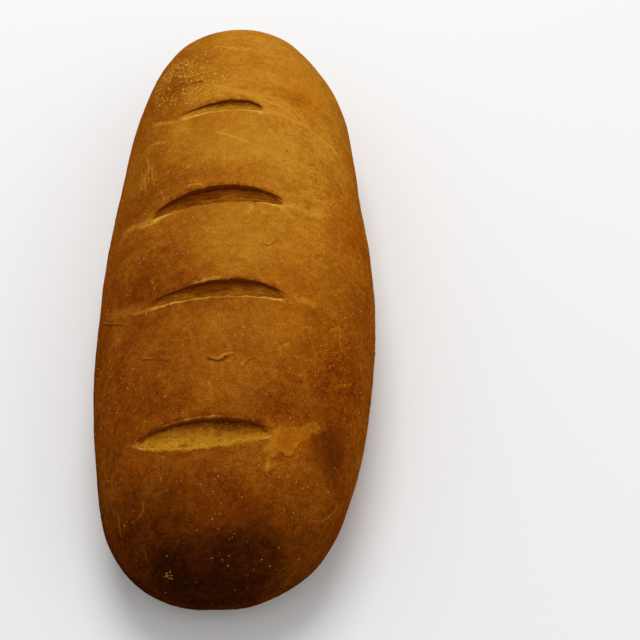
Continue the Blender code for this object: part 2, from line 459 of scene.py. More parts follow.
# marks of the oven and the hand on the crust: each line is half its width in mm, its strength
# and its points (x, y) in mm as seen from above
marks = {
    "pale": (
        # far end
        (0.9, 0.55, (-16, 134.5), (-6, 131), (5, 128.5)),
        (0.6, 0.40, (-2, 127.5), (6, 127.8)),
        (0.6, 0.45, (19, 126.5), (28, 128)),
        (1.0, 0.45, (-33, 112), (-26, 107.5)),
        (0.7, 0.50, (-14, 96.5), (-6, 93), (1, 90.5), (9, 88.5)),
        (0.6, 0.55, (-8, 91.5), (0, 88.6), (8, 86.4), (16, 85)),
        (3.0, 0.30, (6, 86.5), (14, 84.7), (22, 84), (28, 80)),
        (0.8, 0.55, (6, 89.6), (14, 87.6), (21, 87.2), (27, 84.4)),
        (0.9, 0.60, (12, 84.2), (19, 82.6), (25, 80.2), (31, 75.6)),
        (0.6, 0.50, (17, 86.2), (24, 84.6), (29, 81.4), (36, 75)),
        (2.0, 0.32, (24, 83), (30.6, 75.2), (41.2, 68.6)),
        (0.6, 0.60, (26, 80), (31.5, 74.2), (36, 71.4), (41, 68)),
        (1.1, 0.75, (38, 69.5), (47, 66.5), (52, 64)),
        (1.6, 0.50, (11.7, 77.1), (22.2, 75.8), (31.8, 72.4)),
        (1.1, 0.75, (12.6, 75.2), (16, 75)),
        (0.8, 0.45, (15.4, 64.3), (19, 60)),
        (0.8, 0.45, (-12.7, 61), (-3, 56.5), (7.4, 51.6)),
        (0.7, 0.35, (-17.8, 130.5), (-17.2, 130.2)),
        (1.6, 0.70, (-47.1, 80.6), (-41, 77), (-33.9, 74.2)),
        (0.8, 0.65, (-41.5, 72.8), (-38.3, 72.3)),
        (0.7, 0.35, (38, 66), (46, 65.6)),
        # folds of the dusty side
        (0.9, 0.60, (-51.3, 62.5), (-48, 65.2), (-43, 64), (-39, 61.5)),
        (0.9, 0.60, (-51.2, 62.9), (-48, 50), (-49.8, 42.2), (-47.1, 28.5)),
        (0.6, 0.45, (-53, 52), (-51.5, 46), (-52, 39), (-49.5, 33)),
        (0.8, 0.50, (-45.4, 51.8), (-45.9, 43.6), (-43.5, 32.1)),
        (0.7, 0.40, (-41, 30), (-38.5, 24), (-37, 19)),
        (0.8, 0.55, (-27.4, 38.4), (-25, 39.6)),
        (0.7, 0.40, (25.5, 38.8), (28, 36.6)),
        (0.6, 0.45, (32.5, 43.6), (36, 41.4), (40.4, 41.8)),
        # tails of the second score
        (2.2, 0.55, (-40, 10), (-46, 10), (-54, 10.6), (-60, 12)),
        (1.0, 0.75, (-38, 7.4), (-44, 7.4), (-52, 8.6)),
        (2.6, 0.50, (24, 13.0), (32, 12.8), (38, 11.4), (46, 14.5)),
        (0.8, 0.75, (8.0, 11.6), (8.2, 9.2), (7.0, 7.0)),
        (0.6, 0.50, (5.5, 9.4), (5.2, 7.8)),
        # a second lip over the third score, and its tails
        (0.7, 0.95, (-33.5, -43.2), (-28.2, -40.4), (-20.7, -37.6), (-11, -35), (-3.1, -34.2)),
        (1.1, 0.80, (-38, -46), (-45.7, -46.2), (-51, -44.5)),
        (3.0, 0.40, (-44, -44.5), (-50, -43), (-57, -40.5), (-66, -36)),
        (2.4, 0.35, (27, -42.2), (34, -43.4), (41, -45)),
        # fine lines between the third score and the last
        (0.7, 0.30, (-29.7, -66.7), (-23.2, -68.4)),
        (0.6, 0.35, (44.8, -59.5), (48.6, -54), (52, -49.3)),
        (0.6, 0.30, (20.7, -73.8), (24, -71.4), (27.8, -67.7)),
        (0.9, 0.40, (48.5, -86), (52.5, -81.5), (55, -80), (58.5, -75.5)),
        (0.6, 0.40, (52.5, -50.5), (51.6, -57), (53, -63)),
        (0.8, 0.35, (-10.6, -90.6), (-9.2, -92.6), (-8.7, -95)),
        (0.5, 0.60, (-6.6, -79), (-4.2, -78.4), (-2.6, -77.2), (1.4, -76.4)),
        (0.8, 0.70, (5.2, -82.8), (5.9, -81.2)),
        # fold over the second score
        (0.6, 0.60, (-26.8, 25.6), (-23.7, 26.3), (-19.4, 25.6), (-15.7, 22.9)),
        # thin lip over the last score
        (0.5, 1.00, (-31.2, -111.4), (-24, -110.2), (-15.9, -109.2), (-7.9, -108.6), (0.1, -108.8)),
        # near end
        (0.5, 0.45, (-54.5, -123), (-53.6, -127)),
        (0.6, 0.45, (-41.9, -149.6), (-39.8, -146.6), (-41, -142.6)),
        (0.6, 0.50, (-52.6, -144.8), (-51, -153.6)),
        (0.5, 0.40, (-39.2, -162.4), (-37.9, -165.8)),
        (0.5, 0.35, (-56.6, -128), (-56.2, -137)),
        (0.6, 0.45, (41.7, -147.4), (47, -141.4), (51.6, -134)),
    ),
    "crack": (
        (0.9, 0.80, (-27, 102), (-23, 102.2), (-19.2, 100.4)),
        (0.5, 0.50, (-44, 84.6), (-40, 83.4)),
        (0.5, 0.45, (26, 50.4), (24.6, 49.6)),
        (0.5, 0.75, (13.4, -13.2), (16, -14.2), (18.4, -13.6), (20.6, -10.4)),
        (0.4, 0.40, (-10, -13.8), (-4, -15.2), (1, -15.2)),
        (0.5, 0.70, (-67.8, -36.5), (-62, -43.5), (-54, -49.6)),
        (0.5, 0.70, (-45.4, -73), (-41, -74.6), (-36.6, -75.6)),
        (0.7, 0.45, (-35.2, -76.2), (-32, -77.6), (-29, -77.8)),
        (0.8, 0.95, (-12.2, -78.4), (-9.6, -79.8), (-6, -80.6), (-4, -80), (-2.4, -78.6), (1.2, -77.8)),
        (0.5, 0.80, (6.9, -82.6), (7.8, -80.8), (9.6, -79.6)),
        (0.5, 0.60, (23.2, -122.6), (25.4, -124.4), (28.6, -124.4), (31, -122.6)),
        (0.4, 0.50, (16.6, -133.6), (18, -135.4), (20.6, -135.4)),
        (0.4, 0.40, (-10.6, -129.4), (-4, -131.4), (2, -130.4)),
        (0.4, 0.40, (44, -45.4), (46.5, -48), (50, -49)),
        (0.4, 0.35, (-27.4, 23.0), (-22, 24.6), (-17, 23.6)),
        (0.6, 0.80, (24.7, 50.2), (25.2, 50.0), (25.8, 50.1)),
        (0.5, 0.50, (-27.5, 19.5), (-24.5, 20.6), (-22, 20.8)),
    ),
}

# baking level from the near tip (-1) to the far tip (1): 0 is almost black, 1 pale gold
bakeAlong = np.array((
    (-1.00, 0.42), (-0.92, 0.48), (-0.84, 0.56), (-0.76, 0.66), (-0.62, 0.79), (-0.45, 0.79),
    (-0.25, 0.83), (0.00, 0.89), (0.25, 0.91), (0.50, 0.92), (0.75, 0.92), (1.00, 0.92)))

# change of the level from the left side (-1) to the right side (1): painted shade, darker towards both sides
sideShade = np.array((
    (-1.00, -0.22), (-0.86, -0.17), (-0.66, -0.13), (-0.40, -0.05), (-0.10, 0.0), (0.35, 0.03),
    (0.62, 0.02), (0.84, -0.04), (1.00, -0.12)))

# soft differences in baking, and on the right side by the last scores painted shade: x, y, radius across and
# along in mm, and how much paler or darker
bakePatches = (
    # far end and the second score
    (26, 92, 12, 10, -0.05),
    (8, 82, 9, 5, 0.05),
    (-36, 108, 14, 20, -0.08),
    (-32, 68, 6, 4, 0.06),
    (2, 54, 28, 18, 0.045),
    (-4, 64, 21, 8, -0.03),
    (-6, 32, 34, 8, -0.04),
    (2, 1, 20, 7, -0.005),
    (0, -18, 22, 14, 0.03),
    (-36, 31, 12, 11, -0.08),
    (-24, 36, 14, 9, -0.06),
    (-49, 25, 9, 10, -0.08),
    (-22.3, 22.0, 6, 3.2, -0.11),
    # between the second and the third
    (-31, -14, 13, 14, -0.09),
    (-32, -36, 17, 14, -0.14),
    (-50, -32, 10, 12, -0.07),
    (28, -33, 10, 8, -0.07),
    # between the third and the last
    (-14, -50, 22, 6, -0.07),
    (-57, -52, 10, 9, 0.07),
    (36, -44, 10, 6, -0.03),
    (-8, -83, 16, 12, 0.03),
    (-1, -73, 9, 3.5, -0.05),
    (22, -90, 12, 9, -0.09),
    # painted shade round the shaded place and down the right side
    (50, -117, 11, 14, -0.12),
    (48, -78, 14, 26, -0.07),
    (57, -84, 8, 18, -0.10),
    (32, -92, 12, 8, -0.05),
    (46, -95, 12, 9, -0.07),
    (-28, -98, 12, 7, -0.08),
    (20, -102, 20, 7, -0.08),
    (28, -106, 13, 6, -0.10),
    (-18, -106, 22, 4, -0.04),
    (8, -105, 28, 5, -0.03),
    # near end
    (-10, -128, 26, 7, 0.065),
    (-48, -124, 12, 10, 0.04),
    (-13, -167, 5, 12, 0.05),
    (27, -132, 9, 12, 0.04),
    (37, -133, 7, 6, -0.05),
    (40, -142, 12, 12, 0.05),
    (-46, -140, 10, 13, 0.07),
    (-47, -163, 10, 10, 0.07),
    (-19, -161, 10, 7, 0.09),
    (16, -160, 9, 7, -0.06),
    (-57, -144, 8, 22, 0.12),
)

# dusty, more olive places in the same way
dustPatches = (
    (-50, 55, 10, 28, 0.55),
    (-38, 18, 12, 9, 0.35),
    (-35, 112, 13, 18, 0.25),
    (-36, -141, 8, 7, 0.22),
    (-29, -131, 9, 6, 0.15),
    (40, -142, 14, 20, 0.18),
    (-61, -128, 7, 24, 0.22),
    (30, -167, 10, 6, 0.20),
)

# redder places, and places with a rougher or smoother grain, in the same way
warmPatches = (
    (60, 10, 24, 40, 0.9),
    (52, -70, 22, 34, 0.9),
    (34, 96, 14, 18, 0.8),
    (28, -116, 12, 10, 0.9),
    (30, -44, 12, 30, 0.4),
)
grainPatches = (
    (44, 44, 20, 44, 0.65),
    (-36, 104, 18, 26, 0.55),
    (44, -80, 18, 26, 0.2),
    (-4, 58, 26, 16, -0.35),
    (2, -10, 24, 14, -0.25),
    (0, -66, 26, 12, -0.15),
    (-4, 150, 30, 20, 0.3),
    (-4, -168, 30, 14, -0.2),
)

# dark cap of the near end: middle and radii in mm, power of its rounded form, its depth in mm and
# the most that is painted
darkCap = {"middle": (-4, -176, 46), "radii": (32.5, 27, 24), "power": 2.6, "depth": 22, "most": 12}

# the torn golden place beside the last score and the painted shade next to it, corner points (x, y) in mm
tornPlace = ((20, -114.4), (22, -112.4), (25.4, -111.3), (29, -110.6), (33, -109.8), (35.5, -107.6),
             (38.5, -105), (41.5, -104.8), (42.8, -106.8), (41.3, -109.6), (38.6, -110.3), (38.3, -113),
             (35.5, -115), (33, -116.6), (31.2, -118.6), (30, -121.6), (28.7, -122.8), (25.4, -123.3),
             (23, -124), (21.2, -126), (21, -130), (18, -132), (16.2, -129), (17, -122), (18, -117))
shadedPlace = ((38.4, -112), (41.4, -110.6), (43.4, -108), (46, -107), (49.5, -107.8), (52, -110.5),
               (55, -116), (54, -122), (49, -124), (43, -121), (38.5, -116))
placeFade = {"below": 0.62 * height, "step": 3 * mm, "most": 4}      # both stay on the upper surface

# golden wedge that runs on from the left end of the last score: ends (x, y) and half widths in mm
goldenTail = {"from": (-32, -119.6), "to": (-50, -116.0), "wide": 3.2, "thin": 0.3, "softness": 0.7}

# marks of the same kind on the sides, placed at random
sideMarks = {
    "count": {"pale": 26, "crack": 16},
    "along": (-150, 150),       # y in mm
    "turns": (84, 118),         # degrees from the top
    "reach": (3, 10),           # half length in mm
    "half": (0.4, 1.0),
    "strength": (0.3, 0.6),
}


def smoothLine(points):
    # points in mm, (x, y) each, become a finely stepped line
    knots = np.array(points, float)
    ends = np.concatenate([[2 * knots[0] - knots[1]], knots, [2 * knots[-1] - knots[-2]]])
    line = []
    for a, b, c, d in zip(ends, ends[1:], ends[2:], ends[3:]):
        for t in np.linspace(0, 1, 6)[:-1]:
            line.append(0.5 * (2 * b + (c - a) * t + (2 * a - 5 * b + 4 * c - d) * t ** 2
                               + (3 * b - a - 3 * c + d) * t ** 3))
    return np.array(line + [knots[-1]]) * mm


def onTop(line, fit):
    # the upper surface over points (x, y)
    return toBox(lumpy(section(line[:, 1], turnAt(line[:, 0], line[:, 1]))), fit)


def spotOnTop(x, y, fit):
    # the same for one point in mm
    return onTop(np.array([(x * mm, y * mm)]), fit)[0]


def paintLines(piece, name, lines, skin):
    # away is the signed distance from the nearest line in its own widths, strength fades beside it
    places, normals = skin
    away = np.full(len(places), 9.0)
    strength = np.zeros(len(places))
    nearest = np.full(len(places), 1.0)
    fadeWidth, margin = 1.6 * mm, 6 * mm
    for halfWidth, force, line in lines:
        inBox = np.all((places > line.min(0) - margin) & (places < line.max(0) + margin), axis=1)
        chosen = np.flatnonzero(inBox)
        if len(chosen) == 0:
            continue
        start, step = line[:-1], line[1:] - line[:-1]
        offset = places[chosen][:, None] - start[None]
        part = np.clip((offset * step).sum(2) / (step ** 2).sum(1), 0, 1)
        offset = offset - part[..., None] * step
        gap = np.linalg.norm(offset, axis=2)
        best = gap.argmin(1)
        rows = np.arange(len(chosen))
        offset, gap = offset[rows, best], gap[rows, best]
        across = np.cross(normals[chosen], step[best])
        across /= np.linalg.norm(across, axis=1, keepdims=True)
        side = (offset * across).sum(1)
        # both ends are drawn out thin
        run = (best + part[rows, best]) / len(start)
        taper = np.clip(np.minimum(run, 1 - run) * 5 + 0.15, 0, 1)
        reach = max(1.7, 1.6 * halfWidth) * mm
        local = force * taper * np.clip((reach + fadeWidth - gap) / fadeWidth, 0, 1)
        better = gap < nearest[chosen]
        nearest[chosen[better]] = gap[better]
        away[chosen[better]] = side[better] / (halfWidth * mm)
        strength[chosen[better]] = local[better]
    setMask(piece, name + "Away", np.clip(away, -9, 9))
    setMask(piece, name + "Strength", strength)


def paintPatches(places, patches, fit):
    total = np.zeros(len(places))
    for x, y, across, along, change in patches:
        away = (places - spotOnTop(x, y, fit)) / (np.array((across, along, max(across, 12))) * mm)
        total += change * np.exp(-(away ** 2).sum(1))
    return total


def capDepth(places):
    # mm inside the dark cap of the near end, negative outside
    away = np.abs(places / mm - np.array(darkCap["middle"])) / np.array(darkCap["radii"])
    power, most = darkCap["power"], darkCap["most"]
    return np.clip((1 - (away ** power).sum(1) ** (1 / power)) * darkCap["depth"], -most, most)


def depthInside(places, corners, softness):
    # depth inside a place as seen from above, in widths of its edge, negative outside
    corners = np.array(corners) * mm
    spots = places[:, :2]
    nearest = np.full(len(places), 1.0)
    inside = np.zeros(len(places), bool)
    for start, end in zip(corners, np.roll(corners, -1, 0)):
        step = end - start
        part = np.clip(((spots - start) @ step) / (step @ step), 0, 1)
        nearest = np.minimum(nearest, np.linalg.norm(spots - start - part[:, None] * step, axis=1))
        crosses = (spots[:, 1] > start[1]) != (spots[:, 1] > end[1])
        at = start[0] + step[0] * (spots[:, 1] - start[1]) / (step[1] or 1)
        inside ^= crosses & (spots[:, 0] < at)
    depth = np.where(inside, nearest, -nearest) / mm / softness
    most = placeFade["most"]
    below = np.clip((placeFade["below"] - places[:, 2]) / placeFade["step"], 0, 2 * most)
    return np.clip(depth - below, -most, most)


def tornDepth(places):
    # the edge is crisp on the right and soft towards the left and the near side
    x, y = places[:, 0] / mm, places[:, 1] / mm
    softness = np.interp(x, (20, 28), (3.0, 0.5)) + np.interp(y, (-128, -121), (2.2, 0))
    return depthInside(places, tornPlace, softness)


def shadedDepth(places):
    # crisp along its far edge only
    x, y = places[:, 0] / mm, places[:, 1] / mm
    softness = np.interp(y, (-116, -110.5), (6, 0.6)) + np.interp(x, (45, 50), (0, 7))
    return depthInside(places, shadedPlace, softness)


def tailStrength(places, fit):
    start, end = (spotOnTop(*goldenTail[name], fit) for name in ("from", "to"))
    step = end - start
    part = np.clip(((places - start) @ step) / (step @ step), 0, 1)
    gap = np.linalg.norm(places - start - part[:, None] * step, axis=1) / mm
    half = goldenTail["wide"] + (goldenTail["thin"] - goldenTail["wide"]) * part
    return np.clip((half - gap) / goldenTail["softness"] + 0.5, 0, 1) * (1 - part) ** 0.4


def sideLine(number, rng, fit):
    y = rng.uniform(*sideMarks["along"]) * mm
    turn = math.radians(90 + rng.choice((-1, 1)) * rng.uniform(*sideMarks["turns"]))
    steps = np.linspace(-1, 1, 9)
    bend = wobble(steps * 20 * mm, (24 * mm, 13 * mm), number)
    reach = rng.uniform(*sideMarks["reach"]) * mm
    turns = turn + 0.05 * bend + steps * rng.uniform(-1, 1) * reach / (60 * mm)
    line = toBox(lumpy(section(y + steps * reach, turns)), fit)
    return rng.uniform(*sideMarks["half"]), rng.uniform(*sideMarks["strength"]), line


def paintCrust(piece, fit):
    skin = pointsOf(piece), normalsOf(piece)
    places = skin[0]
    rng = np.random.default_rng(41)
    for name, count in sideMarks["count"].items():
        lines = [(half, force, onTop(smoothLine(line), fit)) for half, force, *line in marks[name]]
        lines.extend(sideLine(number, rng, fit) for number in range(count))
        paintLines(piece, name, lines, skin)
    bakeAndShade = np.interp(2 * places[:, 1] / length, bakeAlong[:, 0], bakeAlong[:, 1])
    # painted shade, darker towards both sides
    bakeAndShade += np.interp(2 * places[:, 0] / width, sideShade[:, 0], sideShade[:, 1])
    # the foot of the near end is scorched
    foot = np.clip(1 - places[:, 2] / (36 * mm), 0, 1) * np.clip(-places[:, 1] / (40 * mm) - 3, 0, 1)
    setMask(piece, "bakeAndShade", bakeAndShade + paintPatches(places, bakePatches, fit) - 0.22 * foot)
    setMask(piece, "dust", paintPatches(places, dustPatches, fit))
    setMask(piece, "cap", capDepth(places))
    setMask(piece, "torn", tornDepth(places))
    # painted shade next to the torn place
    setMask(piece, "shaded", shadedDepth(places))
    setMask(piece, "tail", tailStrength(places, fit))
    setMask(piece, "warm", np.clip(paintPatches(places, warmPatches, fit), 0, 1))
    setMask(piece, "grain", 1 + paintPatches(places, grainPatches, fit))
    setMask(piece, "under", np.clip(1 - places[:, 2] / (30 * mm), 0, 1))


# depth in mm of the cracks and of the torn place, height of the pale lines, and how wide they spread
relief = {"crack": 0.30, "crackSpread": 1.6, "torn": 0.25, "pale": 0.10, "paleSpread": 1.5}


def carveMarks(piece):
    lines = {}
    for name in ("crack", "pale"):
        away = readMask(piece, name + "Away") / relief[name + "Spread"]
        lines[name] = relief[name] * readMask(piece, name + "Strength") * np.exp(-away ** 2)
    dent = lines["crack"] + relief["torn"] * np.clip(readMask(piece, "torn"), 0, 1) - lines["pale"]
    movePoints(piece, pointsOf(piece) - normalsOf(piece) * dent[:, None] * mm)


tear = {
    "across": 240,          # points along a score
    "reach": 66,            # points from its near edge to under the lip
    "from": -0.95,          # own offsets in mm
    "middle": 0.2,
    "to": 1.62,
    "length": 0.985,        # share of the score
    "taper": 0.16,          # share of its half length over which it narrows to a point
    "unrolled": 13 * mm,    # width of the strip when it is laid flat
    "lift": 0.45,           # heights in mm, over the score's floor
    "strand": 0.50,
    "pit": 0.6,
    "buried": 0.45,         # how deep its edges lie in the crust
    "edges": (0.10, 0.05, 0.03),      # soft share at the near edge, under the lip and at the ends
    "thickness": 1.2 * mm,
    "strands": ((11, 1.6, 0.55), (6, 0.8, 0.40), (3, 0.5, 0.25)),      # length and width in mm, share
    "tones": (1.0, 0.06, 0.14, 1.0),       # how golden the crumb of each score is
    "early": (0.11, 0.0, 0.0, 0.0),        # the shallow far score shows more of its golden side
    # painted shade under each lip, deepest at its x
    "shades": (-2 * mm, -22 * mm, -8 * mm, 3 * mm),      # x where each is darkest under the lip
    "shadeWidth": 14 * mm,
    "shadeAmount": 0.16,
}


def buildTear(number, score, fit):
    nothingSelected()
    bpy.ops.mesh.primitive_grid_add(x_subdivisions=tear["across"], y_subdivisions=tear["reach"], size=1)
    piece = bpy.context.object
    piece.name = piece.data.name = f"tear.{number + 1}"
    flat = pointsOf(piece)
    across, reach = flat[:, 0] * 2, flat[:, 1] + 0.5
    fromEnd = 1 - np.abs(across)
    x = score["x"] + score["half"] * tear["length"] * across
    taper = np.clip(fromEnd / tear["taper"], 0.03, 1) ** 0.8
    full = tear["from"] + (tear["to"] - tear["from"]) * reach
    own = (tear["middle"] + (full - tear["middle"]) * taper) * mm
    places, share = scorePoint(score, own, turnAt(x, np.full(len(x), score["y"])))
    places = toBox(places, fit)
    # strands run along the score, shorter in golden crumb, and pits are stretched the same way
    seed, tone = score["seed"], tear["tones"][number]
    sheet = np.stack([x, reach * tear["unrolled"], np.zeros(len(x))], 1)
    sheet[:, 1] += 0.9 * mm * softNoise(sheet, (14 * mm, 6 * mm, mm), seed + 9)
    strand = np.zeros(len(x))
    for size, narrow, amount in tear["strands"]:
        grain = (size * (1 - 0.68 * tone) * mm, narrow * mm, mm)
        strand += amount * (1 - 2.2 * np.abs(softNoise(sheet, grain, seed + size)))
    crumb = softNoise(sheet, 1.1 * mm, seed + 2)
    pit = np.clip(softNoise(sheet, (3.6 * mm, 1.3 * mm, mm), seed + 3) - 0.5, 0, 1) * 2
    nearEdge, farEdge, endEdge = tear["edges"]
    body = np.minimum(np.minimum(reach / nearEdge, (1 - reach) / farEdge), fromEnd / endEdge)
    body = np.clip(body, 0, 1)
    lift = tear["lift"] + tear["strand"] * (0.55 * strand + 0.22 * crumb) - tear["pit"] * pit
    places[:, 2] += (body * lift * share ** 0.4 - (1 - body) * tear["buried"]) * mm
    movePoints(piece, places)
    # painted shade under the lip, added to the reach
    darkest = tear["shadeAmount"] * np.exp(-((x - tear["shades"][number]) / tear["shadeWidth"]) ** 2)
    setMask(piece, "reach", reach - tear["early"][number] + darkest * np.clip(reach * 2, 0, 1))
    setMask(piece, "strand", strand)
    setMask(piece, "pit", pit)
    setMask(piece, "tone", np.full(len(x), tone))
    pick(piece)
    wall = piece.modifiers.new("wall", "SOLIDIFY")
    wall.thickness = tear["thickness"]
    wall.offset = -1
    bpy.ops.object.modifier_apply(modifier="wall")
    bpy.ops.object.shade_smooth()
    return piece


grains = {
    "mealCount": 400,        # coarse meal on the far left shoulder
    "mealMiddle": (-35, 110),
    "mealRadii": (18, 21),
    # small gatherings of meal: x, y and radius in mm
    "mealSpots": ((-9, 104.3, 4.5), (-17.8, 96.4, 5), (-38.6, 126, 6), (-28, 118, 7), (-25.6, 91.7, 5),
                  (-20.5, 109, 4)),
    "mealSizes": (0.34, 0.78),      # half lengths in mm
    "mealSink": 0.1,                # how far its middle stands off the crust, in half lengths
    "looseCount": 1250,             # grains everywhere else
    "looseSizes": (0.22, 0.48),
    "looseSink": 0.05,
    # places where loose grains gather: x, y, radius in mm and how many more
    "gathered": ((-33.5, -126.7, 6, 6), (-33, -142, 6, 6), (-27.8, -172.1, 1.8, 500), (-10.6, -137, 8, 2),
                 (52, -52.5, 14, 3), (49.4, -78, 16, 2), (42, 50, 22, 3), (44, 2, 18, 2),
                 (-6, -143, 24, 1.2)),
    "blisterCount": 60,
    "blisterSizes": (0.4, 0.9),
    "blisterSink": -0.05,
    "apart": 0.8,                   # closest two may lie, in their half lengths together
    "aboveBase": 2 * mm,
}


def grainShape():
    nothingSelected()
    bpy.ops.mesh.primitive_ico_sphere_add(subdivisions=1, radius=1)
    shape = bpy.context.object
    places = pointsOf(shape)
    movePoints(shape, places * (1 + 0.22 * softNoise(places, 0.8, 4))[:, None] * np.array((1.05, 0.95, 0.8)))
    return shape


def blisterShape():
    # a small burst bubble: a rim round a shallow dip
    nothingSelected()
    bpy.ops.mesh.primitive_uv_sphere_add(segments=9, ring_count=5, radius=1)
    shape = bpy.context.object
    places = pointsOf(shape)
    reach = np.linalg.norm(places[:, :2], axis=1)
    above = places[:, 2] > 0
    rise = np.where(above, 0.42 * np.sin(np.clip(reach, 0, 1) * 2.6), -0.3)
    movePoints(shape, np.stack([places[:, 0], places[:, 1], rise], 1))
    # painted glint on the rim, dark in the dip
    setMask(shape, "rimGlint", np.where(above, np.sin(np.clip(reach, 0, 1) * 2.9), 0))
    return shape


def scatterOn(shape, name, spots, rng):
    # one copy of the shape for each spot, all joined into one piece
    copies = []
    for place, normal, size in spots:
        copy = bpy.data.objects.new(name, shape.data.copy())
        lean = Vector(normal).to_track_quat("Z", "Y").to_matrix().to_4x4()
        spin = Matrix.Rotation(rng.uniform(0, 2 * math.pi), 4, "Z")
        stretch = Matrix.Diagonal((size * rng.uniform(0.8, 1.3), size * rng.uniform(0.8, 1.1),
                                   size * rng.uniform(0.6, 0.95), 1))
        copy.data.transform(Matrix.Translation(place) @ lean @ spin @ stretch)
        bpy.context.scene.collection.objects.link(copy)
        copies.append(copy)
    nothingSelected()
    for copy in copies:
        copy.select_set(True)
    bpy.context.view_layer.objects.active = copies[0]
    bpy.ops.object.join()
    piece = bpy.context.object
    piece.name = piece.data.name = name
    bpy.data.objects.remove(shape)
    bpy.ops.object.shade_smooth()
    print(name + ":", len(spots))
    return piece


def areasOf(piece):
    # each point's share of the area, so that close rings don't gather the grains
    areas = np.zeros(len(piece.data.vertices))
    for polygon in piece.data.polygons:
        areas[list(polygon.vertices)] += polygon.area / len(polygon.vertices)
    return areas


def pickSpots(piece, tree, weights, kind, rng):
    places = pointsOf(piece)
    count, (least, most), sink = (grains[kind + name] for name in ("Count", "Sizes", "Sink"))
    allowed = (readMask(piece, "cut") < 0.2) * (places[:, 2] > grains["aboveBase"])
    weights = weights * areasOf(piece) * allowed
    spots = []
    taken = np.full((count, 4), 9.0)
    for number in rng.choice(len(places), count, p=weights / weights.sum()):
        place, normal, _, _ = tree.find_nearest(Vector(places[number] + rng.uniform(-0.7, 0.7, 3) * mm))
        size = (least + (most - least) * rng.random() ** 2) * mm
        # grains touch at most, they don't pile up
        gaps = np.linalg.norm(taken[:, :3] - np.array(place), axis=1) - grains["apart"] * (taken[:, 3] + size)
        taken[len(spots)] = (*place, size)
        if len(spots) == 0 or gaps[:len(spots)].min() > 0:
            spots.append((place + normal * size * sink, normal, size))
    return spots


def nearSpot(places, x, y, radius, fit):
    # 1 at the spot, fading over the radius
    away = np.linalg.norm(places - spotOnTop(x, y, fit), axis=1)
    return np.exp(-(away / (radius * mm)) ** 2)


def scatterGrains(piece, fit, coarse, fine, bubble):
    rng = np.random.default_rng(7)
    places, normals = pointsOf(piece), normalsOf(piece)
    tree = BVHTree.FromObject(piece, bpy.context.evaluated_depsgraph_get())
    # coarse meal lies in patches on the shoulder
    across, along = grains["mealRadii"]
    away = (places - spotOnTop(*grains["mealMiddle"], fit)) / (np.array((across, along, across)) * mm)
    shoulder = np.clip((1.15 - np.linalg.norm(away, axis=1)) * 3, 0, 1)
    meal = shoulder * (0.12 + 0.5 * (softNoise(places, 7 * mm, 2) > 0.0))
    for x, y, radius in grains["mealSpots"]:
        meal += 1.2 * nearSpot(places, x, y, radius, fit)
    # loose grains lie everywhere, more on top and on the right flank, fewer on the dark cap
    rightFlank = np.clip(places[:, 0] / (0.3 * width) - 0.5, 0, 1) * (np.abs(places[:, 1]) < 90 * mm)
    loose = 0.4 + np.clip(normals[:, 2], 0, 1) + 1.5 * rightFlank
    loose *= 0.4 + 1.2 * np.clip(softNoise(places, 26 * mm, 3) + 0.4, 0, 1)
    for x, y, radius, more in grains["gathered"]:
        loose *= 1 + more * nearSpot(places, x, y, radius, fit)
    loose *= np.where((readMask(piece, "cap") > -3) & (loose < 60), 0.5, 1)
    for kind, shape, weights, finish in (("meal", grainShape, meal, coarse),
                                         ("blister", blisterShape, meal + 0.006 * loose, bubble),
                                         ("loose", grainShape, loose, fine)):
        spots = pickSpots(piece, tree, weights, kind, rng)
        finishPiece(scatterOn(shape(), kind + "Grains", spots, rng), finish)


# materials: every pattern reads Object coordinates or a painted mask
def feed(tree, node, inputs):
    # inputs maps a socket's name or number to a value or to another node's output
    for name, value in inputs.items():
        if isinstance(value, bpy.types.NodeSocket):
            tree.links.new(value, node.inputs[name])
        elif isinstance(value, tuple) and len(value) == 3 and node.inputs[name].type == "RGBA":
            node.inputs[name].default_value = (*value, 1)
        else:
            node.inputs[name].default_value = value


def addNode(tree, kind, inputs=None, **settings):
    node = tree.nodes.new("ShaderNode" + kind)
    for name, value in settings.items():
        setattr(node, name, value)
    feed(tree, node, inputs or {})
    return node


def calc(tree, operation, first, second=0.0, clamp=False):
    return addNode(tree, "Math", {0: first, 1: second}, operation=operation, use_clamp=clamp).outputs[0]


def times(tree, first, *others):
    for other in others:
        first = calc(tree, "MULTIPLY", first, other)
    return first


def addUp(tree, total, *terms):
    # total plus each value times its amount
    for value, amount in terms:
        total = calc(tree, "ADD", total, calc(tree, "MULTIPLY", value, amount))
    return total


def fade(tree, value, start, end):
    # 0 at start, 1 at end, smooth between them
    inputs = {"Value": value, "From Min": start, "From Max": end}
    return addNode(tree, "MapRange", inputs, interpolation_type="SMOOTHSTEP").outputs["Result"]


def blendColour(tree, share, under, over, blend="MIX"):
    inputs = {0: share, 6: under, 7: over}
    return addNode(tree, "Mix", inputs, data_type="RGBA", blend_type=blend).outputs[2]


def colourRamp(tree, value, stops):
    node = addNode(tree, "ValToRGB", {"Fac": value})
    elements = node.color_ramp.elements
    while len(elements) < len(stops):
        elements.new(0.5)
    for element, (position, colour) in zip(elements, stops):
        element.position = position
        element.color = (*colour, 1)
    return node.outputs["Color"]


def mask(tree, name):
    return addNode(tree, "Attribute", attribute_name=name).outputs["Fac"]


def startGroup(name, inputs, outputs):
    group = bpy.data.node_groups.new(name, "ShaderNodeTree")
    for socketName, kind, value in inputs:
        socket = group.interface.new_socket(socketName, in_out="INPUT", socket_type="NodeSocket" + kind)
        if value is not None:
            socket.default_value = value
    for socketName in outputs:
        group.interface.new_socket(socketName, in_out="OUTPUT", socket_type="NodeSocketFloat")
    return group, group.nodes.new("NodeGroupInput").outputs, group.nodes.new("NodeGroupOutput").inputs


def useGroup(tree, group, inputs):
    node = tree.nodes.new("ShaderNodeGroup")
    node.node_tree = group
    feed(tree, node, inputs)
    return node.outputs


